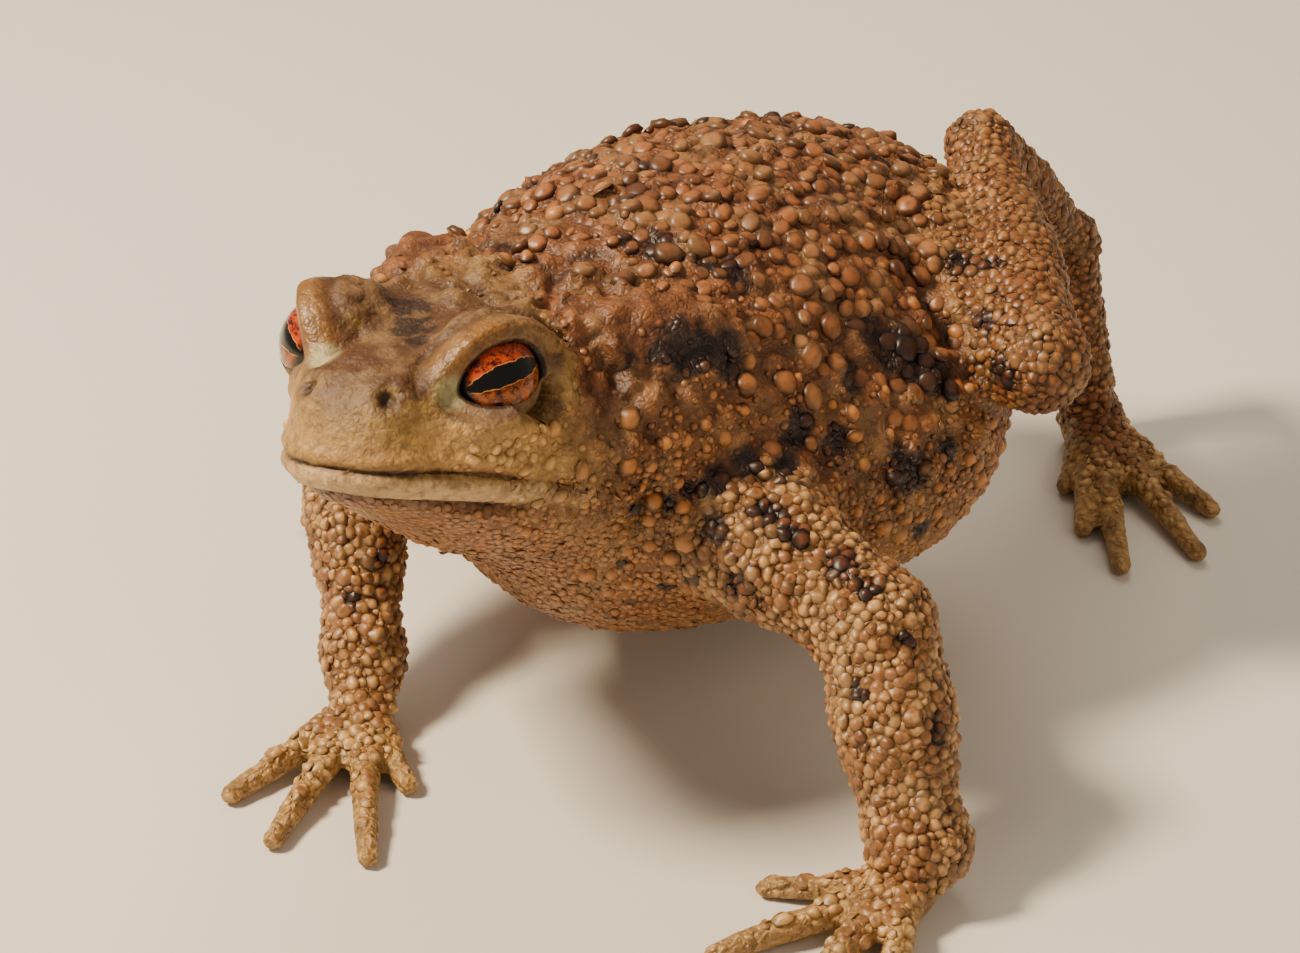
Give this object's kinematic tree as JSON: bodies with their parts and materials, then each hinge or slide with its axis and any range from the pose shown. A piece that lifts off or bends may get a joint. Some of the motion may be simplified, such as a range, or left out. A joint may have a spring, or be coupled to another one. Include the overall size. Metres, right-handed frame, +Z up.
{
  "type": "toad",
  "caption": "Life-size common toad with a warty back, standing on four splayed feet with its head raised, as a still display model.",
  "frame": {"origin": "middle of the box round the toad, on the floor it stands on", "axes": "+Z up, the toad faces -Y, its left side is +X"},
  "size_m": [0.1186, 0.1272, 0.0573],
  "materials": {
    "skin": "damp, warty, reddish-brown and tan skin with a low gloss",
    "lip_skin": "fine-grained cream and tan skin of the lip, chin and throat",
    "digit_skin": "pale, finely cobbled skin of the hands and feet",
    "eye": "wet copper-red iris with a black level pupil"
  },
  "bodies": {
    "root": {"head": "skin", "lower_jaw": "lip_skin", "eye_left": "eye", "eye_right": "eye", "torso": "skin", "upper_arm_left": "skin", "forearm_left": "skin", "hand_left": "digit_skin", "upper_arm_right": "skin", "forearm_right": "skin", "hand_right": "digit_skin", "thigh_left": "skin", "shank_left": "skin", "tarsus_left": "skin", "foot_left": "digit_skin", "thigh_right": "skin", "shank_right": "skin", "tarsus_right": "skin", "foot_right": "digit_skin"}
  },
  "joints": []
}
